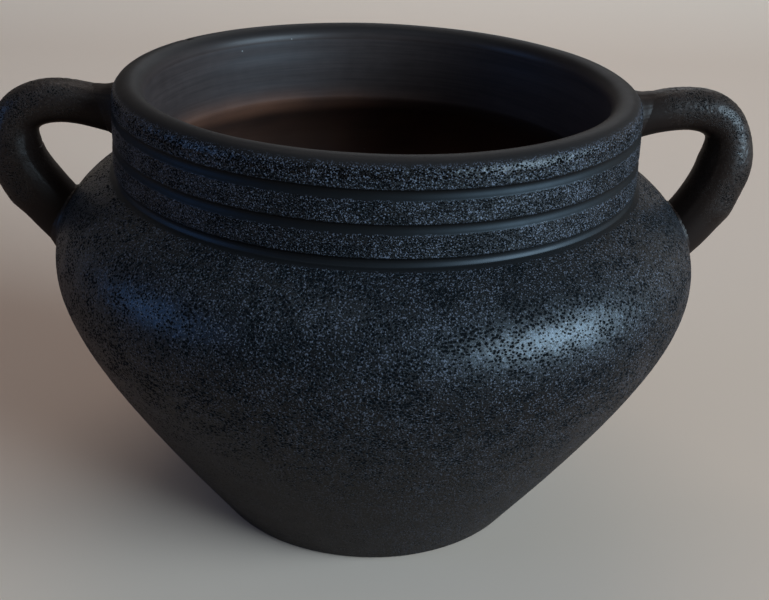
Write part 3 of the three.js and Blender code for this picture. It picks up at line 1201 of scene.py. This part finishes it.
    def collar_runs(self) -> list[Run]:
        """Draws the outline of the collar with its grooves.

        Returns:
            The stretches of the outline in order.
        """
        stretches = []
        for number in range(self.groove_count):
            foot = self.neck_height + number * self.groove_pitch
            cut = self.groove(foot)
            if number == 0:
                low, cut = cut[cut[:, 1] <= self.collar_foot], cut[cut[:, 1] >= self.collar_foot]
                stretches.append(Run("seam_groove", low, spacing=0.0004, surface=Surface.BURNISHED))
            stretches.append(Run(f"groove_{number}", cut, spacing=0.0004, surface=Surface.BURNISHED))
            last = number == self.groove_count - 1
            heights = (foot + self.groove_width, self.lip_seam if last else foot + self.groove_pitch)
            band = np.array([(self.collar_radius(height), height) for height in heights])
            stretches.append(Run(
                "top_band" if last else f"band_{number}", band, spacing=0.0005,
                surface=Surface.COARSE_BAND if last else Surface.FINE_BAND,
                fade_start=self.groove_fade, fade_end=0.0 if last else self.groove_fade,
            ))
        return stretches

    def mouth_runs(self) -> list[Run]:
        """Draws the outline over the lip and down inside to the middle of the floor.

        Returns:
            The stretches of the outline in order.
        """
        turn = np.linspace(0.0, math.pi, self.lip_points)
        lip = np.stack([
            (self.collar_top_radius + self.mouth_radius) / 2 + self.lip_half * np.cos(turn),
            self.lip_seam + self.lip_height * np.sin(turn),
        ], axis=1)
        split = int(len(lip) * self.lip_outer_share)
        bore = np.array([(self.mouth_radius, self.lip_seam), (self.mouth_radius, self.collar_foot)])
        inner_belly = self.belly_radius - self.wall_thickness
        throat = bezier([
            bore[-1],
            (self.mouth_radius + self.throat_lean, self.neck_height - self.throat_drop),
            (inner_belly, self.belly_height + self.belly_pull_up),
            (inner_belly, self.belly_height),
        ])
        inside = self.lower_inside()
        floor = np.array([inside[-1], (self.hub_radius, self.floor_thickness)])
        return [
            Run("lip_outer", lip[:split + 1], spacing=0.0005, surface=Surface.COARSE_BAND, fade_end=0.0034),
            Run("lip_inner", lip[split:], spacing=0.0006, surface=Surface.BURNISHED),
            Run("bore", bore, spacing=0.0012, surface=Surface.THROWN, stride=4),
            Run("throat", throat, spacing=0.002, surface=Surface.THROWN, stride=4),
            Run("inside", inside, spacing=0.003, surface=Surface.THROWN, stride=4),
            Run("floor", floor, spacing=0.002, surface=Surface.WIPED_FLOOR, stride=4),
        ]

    def grain_share(self, run: Run, places: np.ndarray) -> np.ndarray:
        """Works out how much of its grain a run shows.

        It fades at the run's ends and round the handles' roots, and the foot is scraped smoother. The foot's
        grain is thinner on the left than on the right: partly smoother relief, partly painted light, as the
        painted glints that follow the grain fade on the side away from the right window.

        Args:
            run: The stretch of the outline.
            places: Its smooth places by row and column.

        Returns:
            Shares from 0 to 1 by row and column.
        """
        along = lengths(run.outline)[:, None]
        edge = self.grain_wander * self.grain.ragged.at(places, self.grain_wander_size)
        share = np.ones(places.shape[:2])
        for fade, way in ((run.fade_start, along), (run.fade_end, along[-1] - along)):
            if fade:
                share *= smoothstep(0.0, fade, way + edge)
        for root in self.roots:
            away = np.linalg.norm(places - np.array(root), axis=-1)
            share *= smoothstep(*self.root_fade, away + self.root_wander * edge)
        # Less grain towards the foot, least on the left: smoother relief, and painted light too, as the
        # painted glints follow the grain.
        if run.surface is Surface.BELLY:
            right = smoothstep(*self.foot_grain_across, places[..., 0] / self.belly_radius)
            least = self.foot_grain_left + (self.foot_grain_right - self.foot_grain_left) * right
            share *= least + (1.0 - least) * smoothstep(*self.foot_grain_heights, places[..., 2])
        return share

    def tool_mark(self, places: np.ndarray, across: np.ndarray) -> np.ndarray:
        """Works out the thin mark under the lowest groove, deepest at the front right.

        Args:
            places: Smooth places by row and column.
            across: Way over the mark from row to row, as a share of its width.

        Returns:
            Depth of the mark by row and column.
        """
        front = hump(bearing(places) - self.mark_turn, self.mark_spread)
        strength = self.mark_least + (1.0 - self.mark_least) * front
        return self.mark_depth * strength * hump(across - 0.5, self.mark_edge)

    def bloom(self, places: np.ndarray) -> np.ndarray:
        """Works out the painted warm light inside: a pool of it at the back left, and a share of it over all
        of the depth.

        Args:
            places: Smooth places by row and column.

        Returns:
            Strength of the painted warm light from 0 to 1 by row and column.
        """
        apart = np.angle(np.exp(1j * (bearing(places) - self.warm_light_turn)))
        height = places[..., 2]
        patch = hump(apart, self.warm_light_spread) * hump(height - self.warm_light_height, self.warm_light_depth)
        deep = self.depth_warm_light * (1.0 - smoothstep(*self.depth_range, height))
        clouded = 1.0 + self.warm_light_swing * self.grain.broad.at(places, self.warm_light_cloud)
        return np.clip(np.maximum(patch, deep) * clouded, 0.0, 1.0)

    def relief(self, run: Run, places: np.ndarray) -> tuple[np.ndarray, dict[Layer, np.ndarray]]:
        """Works out a run's surface relief and the layers for its shader.

        Args:
            run: The stretch of the outline.
            places: Its smooth places by row and column.

        Returns:
            Height over the smooth form and the layers, by row and column.
        """
        kind = run.surface.value
        along = lengths(run.outline)[:, None]
        share = self.grain_share(run, places)
        height = self.grain.height(kind, places, share)
        layers = {
            Layer.GRAIN: share * kind.grain,
            Layer.COARSE: np.full_like(height, kind.coarse),
            Layer.INSIDE: np.full_like(height, kind.inside),
            Layer.BLOOM: self.bloom(places) if kind.inside else np.zeros_like(height),
        }
        if run.name == "tool_mark":
            height -= self.tool_mark(places, along / self.mark_width)
        if run.name == "lip_inner":
            away = np.linalg.norm(places - np.array(self.nick_place), axis=-1)
            height -= self.nick_depth * hump(away, self.nick_size)
            layers[Layer.INSIDE] += smoothstep(self.lip_inside_from, 1.0, along / along[-1])
        return height, layers

    def turned(self, outline: np.ndarray) -> tuple[np.ndarray, np.ndarray]:
        """Turns an outline round the axis.

        Args:
            outline: Points of (radius, height).

        Returns:
            Smooth places and their normals by row and column.
        """
        angle = turns(self.columns)
        around = np.stack([np.cos(angle), np.sin(angle)], axis=1)
        along = tangents(outline)
        places = np.empty((len(outline), self.columns, 3))
        places[..., :2] = outline[:, None, :1] * around + self.centre_at(outline[:, 1])[:, None]
        places[..., 2] = outline[:, None, 1]
        normals = np.empty_like(places)
        normals[..., :2] = along[:, None, 1:] * around
        normals[..., 2] = -along[:, None, 0]
        return places, normals

    def turn(self) -> None:
        """Turns the whole outline into one skin.

        A run starts from the last row of the run before it, so the rows meet without a step. The foot
        is worn flat where it stands.
        """
        self.spans: dict[str, range] = {}
        self.strides: list[int] = []
        places: list[np.ndarray] = []
        layers: dict[Layer, list[np.ndarray]] = {layer: [] for layer in Layer}
        for run in (*self.wall_runs(), *self.collar_runs(), *self.mouth_runs()):
            smooth, normals = self.turned(run.outline)
            height, values = self.relief(run, smooth)
            first = len(self.strides)
            fresh = slice(1 if first else 0, None)
            places.append((smooth + normals * height[..., None])[fresh])
            for layer, rows in layers.items():
                rows.append(values[layer][fresh])
            self.strides += [run.stride] * len(places[-1])
            self.spans[run.name] = range(first, len(self.strides))
        grid = np.concatenate(places)
        grid[..., 2] = np.maximum(grid[..., 2], 0.0)
        self.skin = Skin(grid, {layer: np.concatenate(rows) for layer, rows in layers.items()})

    def rows_of(self, runs: Sequence[str]) -> range:
        """Rows of a chain of runs, from the row that the first one starts from."""
        first = self.spans[runs[0]].start
        return range(max(0, first - 1), self.spans[runs[-1]].stop)

    def cut(self, piece: TurnedPiece) -> bpy.types.Object:
        """Cuts one piece out of the skin and closes it.

        Args:
            piece: Which piece.

        Returns:
            The piece.
        """
        mesh = ClayMesh()
        for side in filter(None, (piece.outer, piece.inner)):
            for row in self.rows_of(side):
                mesh.add_ring(self.skin, row, self.strides[row])
        mesh.close(piece.solid)
        return mesh.make(f"{piece.node}_clay", 1 if piece.solid else self.sectors)

    def build(self, dresser: Dresser) -> None:
        """Builds and dresses the five turned pieces.

        Args:
            dresser: Gives the pieces their finish and their place in the frame.
        """
        self.turn()
        for piece in self.PIECES:
            dresser.dress(self.cut(piece), piece.node, piece.finish)


class Side(Enum):
    """Which side of the vase a handle is on, as the sign of X."""

    LEFT = -1
    RIGHT = 1


@dataclass(frozen=True)
class Seat:
    """How far a smeared coil runs along the handle and over the wall, by side of the handle."""

    hole_reach: float
    far_reach: float
    hole_spread: float
    far_spread: float
    fullness: float
    gather: float
    grain_fade: Span


class Root(Enum):
    """The two roots of a handle, each with the seat of the coil that lutes it."""

    UPPER = Seat(
        hole_reach=0.003, far_reach=0.010, hole_spread=0.0012, far_spread=0.0028, fullness=0.45, gather=1.3,
        grain_fade=(0.012, 0.024),
    )
    LOWER = Seat(
        hole_reach=0.0012, far_reach=0.009, hole_spread=0.0008, far_spread=0.008, fullness=0.25, gather=2.0,
        grain_fade=(0.014, 0.028),
    )


@dataclass
class LoopHandle:
    """A rolled clay handle with the coils that lute its two roots."""

    body: VaseBody
    side: Side
    arm_below_rim: float
    stand_off: float
    heel_above_belly: float
    arm_rise: float = math.radians(20)
    arm_pull: float = 0.028
    bend_below_arm: float = 0.0146
    bend_pull_up: float = 0.0258
    bend_pull_down: float = 0.0078
    heel_rise: float = math.radians(50)
    heel_pull: float = 0.020
    arm_radius: float = 0.0098
    heel_radius: float = 0.0129
    thickens: Span = (0.42, 0.6)
    root_depth: float = 0.005
    heel_depth: float = 0.012
    heel_swell: float = 0.0012
    swell_above_wall: float = 0.019
    swell_length: float = 0.006
    hole_grain: float = 0.35
    grain_turn: Span = (-0.6, 0.3)
    seam_height: float = 0.00016
    seam_turn: float = math.radians(52)
    seam_width: float = 0.12
    seam_shows: Span = (0.4, 0.5)
    seam_swing: float = 0.6
    seam_lump: float = 0.01
    ring_spacing: float = 0.0005
    sides: int = 144
    lute_rows: int = 25
    lute_proud: float = 0.00016
    lute_wander: float = 0.0003
    lute_lump: float = 0.006
    lute_edge_sunk: float = 0.0002
    lute_rises: Span = (0.0, 0.3)
    lute_falls: Span = (0.8, 1.0)
    lute_inset: float = 0.2
    skirt_sunk: float = 0.002
    crotch_sunk: float = 0.003
    lute_grain: float = 0.12
    lute_sectors: int = 2

    def __post_init__(self) -> None:
        """Draws the middle line from the collar over the bend to the belly."""
        body = self.body
        self.name = self.side.name.lower()
        arm_height = body.rim_height - self.arm_below_rim
        heel_height = body.belly_height + self.heel_above_belly
        arm_wall, heel_wall = (float(body.wall_radius(height)) for height in (arm_height, heel_height))
        root = np.array([arm_wall - self.root_depth, arm_height])
        bend = np.array([body.belly_radius + self.stand_off, arm_height - self.bend_below_arm])
        heel = np.array([heel_wall, heel_height])
        arm_end = root + slanted(self.arm_pull, self.arm_rise)
        heel_end = heel + slanted(self.heel_pull, self.heel_rise)
        over = bezier([root, arm_end, bend + [0.0, self.bend_pull_up], bend], count=300)
        back = bezier([bend, bend - [0.0, self.bend_pull_down], heel_end, heel], count=300)
        sunk = heel - slanted(self.heel_depth, self.heel_rise)
        self.line = resampled(np.vstack([over, back[1:], sunk[None]]), self.ring_spacing)
        self.roots: dict[Root, Place] = {
            Root.UPPER: (self.side.value * arm_wall, 0.0, arm_height),
            Root.LOWER: (self.side.value * heel_wall, 0.0, heel_height),
        }

    def coil(self) -> None:
        """Works out the skin of the coil, with its grain, the seam of its rolling and its full heel."""
        line, run, along = self.line, lengths(self.line), tangents(self.line)
        share = run / run[-1]
        thicker = (self.heel_radius - self.arm_radius) * smoothstep(*self.thickens, share)
        radius = self.arm_radius + thicker
        angle = turns(self.sides)
        cosine = np.cos(angle)
        sign = self.side.value
        middle = np.stack([sign * line[:, 0], np.zeros(len(line)), line[:, 1]], axis=-1)
        out = np.stack([
            sign * along[:, 1:] * cosine,
            np.broadcast_to(sign * np.sin(angle), (len(line), self.sides)),
            -along[:, :1] * cosine,
        ], axis=-1)
        places = middle[:, None] + radius[:, None, None] * out
        far = self.hole_grain + (1.0 - self.hole_grain) * smoothstep(*self.grain_turn, -cosine)
        grain = np.broadcast_to(far, places.shape[:2])
        for root, spot in self.roots.items():
            away = np.linalg.norm(places - np.array(spot), axis=-1)
            grain = grain * smoothstep(*root.value.grain_fade, away)
        noise = self.body.grain
        height = noise.height(Surface.ROLLED.value, places, grain)
        facing = np.arccos(np.clip(np.cos(angle + sign * self.seam_turn), -1.0, 1.0))
        seam = hump(facing, self.seam_width) * smoothstep(*self.seam_shows, share)[:, None]
        lumpy = 1.0 + self.seam_swing * noise.broad.at(places, self.seam_lump)
        height += self.seam_height * seam * lumpy
        swollen = hump(run - run[-1] + self.heel_depth + self.swell_above_wall, self.swell_length)
        height += self.heel_swell * swollen[:, None] * np.clip(-cosine, 0.0, 1.0)
        self.skin = Skin(places + out * height[..., None], {Layer.GRAIN: grain})

    def past_wall(self, places: np.ndarray) -> np.ndarray:
        """How far places lie outside the wall, level."""
        flat = places[..., :2] - self.body.centre_at(places[..., 2])
        return np.hypot(flat[..., 0], flat[..., 1]) - self.body.wall_radius(places[..., 2])

    def on_wall(self, places: np.ndarray, sunk: float = 0.0) -> np.ndarray:
        """Moves places level onto the wall.

        Args:
            places: Places near the wall.
            sunk: Distance in from the wall's face.

        Returns:
            The moved places.
        """
        centre = self.body.centre_at(places[..., 2])
        wall = self.body.wall_radius(places[..., 2])[..., None] - sunk
        return np.concatenate([centre + unit(places[..., :2] - centre) * wall, places[..., 2:]], axis=-1)

    def lute(self, root: Root) -> Skin:
        """Smears a coil of clay round one root, from the handle over to the wall.

        Args:
            root: Which root.

        Returns:
            The coil's rings, from the handle out to the wall and back inside it.
        """
        seat = root.value
        upper = root is Root.UPPER
        rings = self.skin.places if upper else self.skin.places[::-1]
        column = np.arange(self.sides)
        far = (0.5 - 0.5 * np.cos(turns(self.sides))) ** seat.gather
        reach = seat.hole_reach + (seat.far_reach - seat.hole_reach) * far
        spread = seat.hole_spread + (seat.far_spread - seat.hole_spread) * far
        first = np.argmax(self.past_wall(rings) > 0.0, axis=0)
        last = first + np.rint(reach / self.ring_spacing).astype(int)
        crotch = self.on_wall(rings[first, column])
        handle = rings[np.minimum(last, len(rings) - 1), column]
        skirt = self.on_wall(crotch + spread[:, None] * unit(crotch - crotch.mean(axis=0)))
        ridge = crotch + seat.fullness * ((handle + skirt) / 2 - crotch)
        share = np.linspace(0.0, 1.0, self.lute_rows)[:, None, None]
        over = (1 - share) ** 2 * handle + 2 * share * (1 - share) * ridge + share ** 2 * skirt
        full = smoothstep(*self.lute_rises, share) * (1.0 - smoothstep(*self.lute_falls, share))
        lumps = self.lute_wander * self.body.grain.broad.at(over, self.lute_lump)[..., None]
        proud = full * (self.lute_proud + lumps) - self.lute_edge_sunk * (1.0 - full)
        rows = np.concatenate([
            (handle + self.lute_inset * (handle.mean(axis=0) - handle))[None],
            over + unit(over - over.mean(axis=1, keepdims=True)) * proud,
            self.on_wall(skirt, self.skirt_sunk)[None],
            self.on_wall(crotch, self.crotch_sunk)[None],
        ])
        outwards = rows[:, ::-1] if upper else rows
        return Skin(outwards, {Layer.GRAIN: np.full(rows.shape[:2], self.lute_grain)})

    def build(self, dresser: Dresser) -> None:
        """Builds and dresses the handle and its two lutes.

        Args:
            dresser: Gives the pieces their finish and their place in the frame.
        """
        self.coil()
        node = f"{self.name}_handle"
        bar = ClayMesh.wrapped(self.skin, solid=True)
        dresser.dress(bar.make(f"{node}_clay", 1), node, Finish.HANDLE)
        for root in Root:
            node = f"{self.name}_{root.name.lower()}_lute"
            smear = ClayMesh.wrapped(self.lute(root), solid=False)
            dresser.dress(smear.make(f"{node}_clay", self.lute_sectors), node, Finish.HANDLE)


@dataclass(frozen=True)
class Softbox:
    """A soft lamp aimed at the vase, with its angles in degrees and its sizes in metres."""

    name: str
    azimuth: float
    elevation: float
    distance: float
    width: float
    height: float
    radiance: float
    colour: Colour

    def place(self, aim: Vector) -> None:
        """Hangs the lamp.

        Args:
            aim: Point that the lamp looks at.
        """
        data = bpy.data.lights.new(self.name, "AREA")
        data.shape = "RECTANGLE"
        data.size = self.width
        data.size_y = self.height
        data.energy = self.radiance * math.pi * self.width * self.height
        data.color = self.colour
        lamp = linked(self.name, data)
        back = towards(math.radians(self.azimuth), math.radians(self.elevation))
        lamp.location = aim + back * self.distance
        lamp.rotation_mode = "QUATERNION"
        lamp.rotation_quaternion = back.to_track_quat("Z", "Y")


@dataclass(frozen=True)
class Studio:
    """Plain pale floor and backdrop, soft lamps and the camera."""

    azimuth: float = math.radians(-4.2)
    elevation: float = 0.453827
    roll: float = 0.042257
    distance: float = 0.545597
    aim: Place = (0.005609, -0.000412, 0.096133)
    focal_pixels: float = 1100.0
    image_width: float = 769.0
    sensor: float = 36.0
    near_clip: float = 0.01
    floor_colour: Colour = (0.80, 0.60, 0.47)
    bounce_colour: Colour = (0.30, 0.205, 0.15)
    wall_colour: Colour = (0.56, 0.50, 0.45)
    room_colour: Colour = (0.069, 0.074, 0.080)
    floor_roughness: float = 0.9
    floor_specular: float = 0.2
    foot_gap: float = 0.0001
    floor_reach: float = 9.0
    sweep_from: float = 0.9
    sweep_height: float = 0.6
    backdrop_from: float = 1.5
    backdrop_height: float = 2.5
    lamp_aim: Place = (0.0, 0.0, 0.12)

    LAMPS = (
        Softbox(
            "right_window", azimuth=60.0, elevation=18.2, distance=9.0, width=6.6, height=4.0,
            radiance=15.5, colour=(0.58, 0.81, 1.0),
        ),
        Softbox(
            "left_window", azimuth=-80.0, elevation=13.0, distance=9.0, width=4.5, height=3.9,
            radiance=1.9, colour=(0.16, 0.42, 1.0),
        ),
        Softbox(
            "ceiling", azimuth=180.0, elevation=65.0, distance=3.2, width=2.4, height=1.6,
            radiance=1.2, colour=(1.0, 0.92, 0.86),
        ),
        Softbox(
            "back_fill", azimuth=165.0, elevation=32.0, distance=1.35, width=0.9, height=0.5,
            radiance=1.0, colour=(0.90, 0.94, 1.0),
        ),
        Softbox(
            "front_fill", azimuth=-25.0, elevation=62.0, distance=3.0, width=1.8, height=1.8,
            radiance=0.4, colour=(0.70, 0.85, 1.0),
        ),
    )

    def camera(self) -> None:
        """Sets the camera at the photograph's viewpoint."""
        data = bpy.data.cameras.new("view")
        data.sensor_width = self.sensor
        data.lens = self.focal_pixels * self.sensor / self.image_width
        data.clip_start = self.near_clip
        eye = linked("view", data)
        back = towards(self.azimuth, self.elevation)
        level = Vector((0.0, 0.0, 1.0)).cross(back).normalized()
        right = math.cos(self.roll) * level + math.sin(self.roll) * back.cross(level)
        place = Matrix((right, back.cross(right), back)).transposed().to_4x4()
        place.translation = Vector(self.aim) + back * self.distance
        eye.matrix_world = place
        bpy.context.scene.camera = eye

    @staticmethod
    def tone(tree: bpy.types.NodeTree, lit: Colour, seen: Colour) -> Socket:
        """Mixes the colour that lights the vase with the one that the camera sees."""
        sheet = NodeSheet(tree)
        return sheet.tinted(sheet.add("LightPath").outputs["Is Camera Ray"], lit, seen)

    def backdrop(self) -> None:
        """Lays the floor, swept up behind the vase in one curve."""
        low, start, wall = -self.foot_gap, self.sweep_from, self.backdrop_from
        sweep = bezier([(start, low), (wall, low), (wall, self.sweep_height)], count=24)
        outline = [(-self.floor_reach, low), *map(tuple, sweep), (wall, self.backdrop_height)]
        places = [(x, y, z) for y, z in outline for x in (-self.floor_reach, self.floor_reach)]
        faces = [(2 * i, 2 * i + 1, 2 * i + 3, 2 * i + 2) for i in range(len(outline) - 1)]
        mesh = bpy.data.meshes.new("floor")
        mesh.from_pydata(places, [], faces)
        mesh.shade_smooth()
        floor = linked("floor", mesh)
        material = bpy.data.materials.new("pale_floor")
        material.use_nodes = True
        tree = material.node_tree
        inputs = tree.nodes["Principled BSDF"].inputs
        inputs["Roughness"].default_value = self.floor_roughness
        inputs["Specular IOR Level"].default_value = self.floor_specular
        tree.links.new(self.tone(tree, self.bounce_colour, self.floor_colour), inputs["Base Color"])
        mesh.materials.append(material)

    def lamps(self) -> None:
        """Hangs the soft lamps and sets a dim even room."""
        for lamp in self.LAMPS:
            lamp.place(Vector(self.lamp_aim))
        world = bpy.data.worlds.new("room")
        bpy.context.scene.world = world
        world.use_nodes = True
        tree = world.node_tree
        room = self.tone(tree, self.room_colour, self.wall_colour)
        tree.links.new(room, tree.nodes["Background"].inputs["Color"])

    def build(self) -> None:
        """Builds the whole studio."""
        self.camera()
        self.backdrop()
        self.lamps()
        bpy.context.scene.view_settings.view_transform = "Standard"


def main() -> None:
    """Builds the vase piece by piece with its studio, and logs each piece's face count."""
    logging.basicConfig(level=logging.INFO, format="%(name)s: %(message)s")
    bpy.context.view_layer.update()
    body = VaseBody()
    handles = [
        LoopHandle(body, Side.RIGHT, arm_below_rim=0.0182, stand_off=0.0169, heel_above_belly=0.0091),
        LoopHandle(body, Side.LEFT, arm_below_rim=0.0207, stand_off=0.0178, heel_above_belly=0.0128),
    ]
    body.roots = [root for handle in handles for root in handle.roots.values()]
    dresser = Dresser()
    body.build(dresser)
    for handle in handles:
        handle.build(dresser)
    Studio().build()
    bpy.context.view_layer.update()


if __name__ == "__main__":
    main()
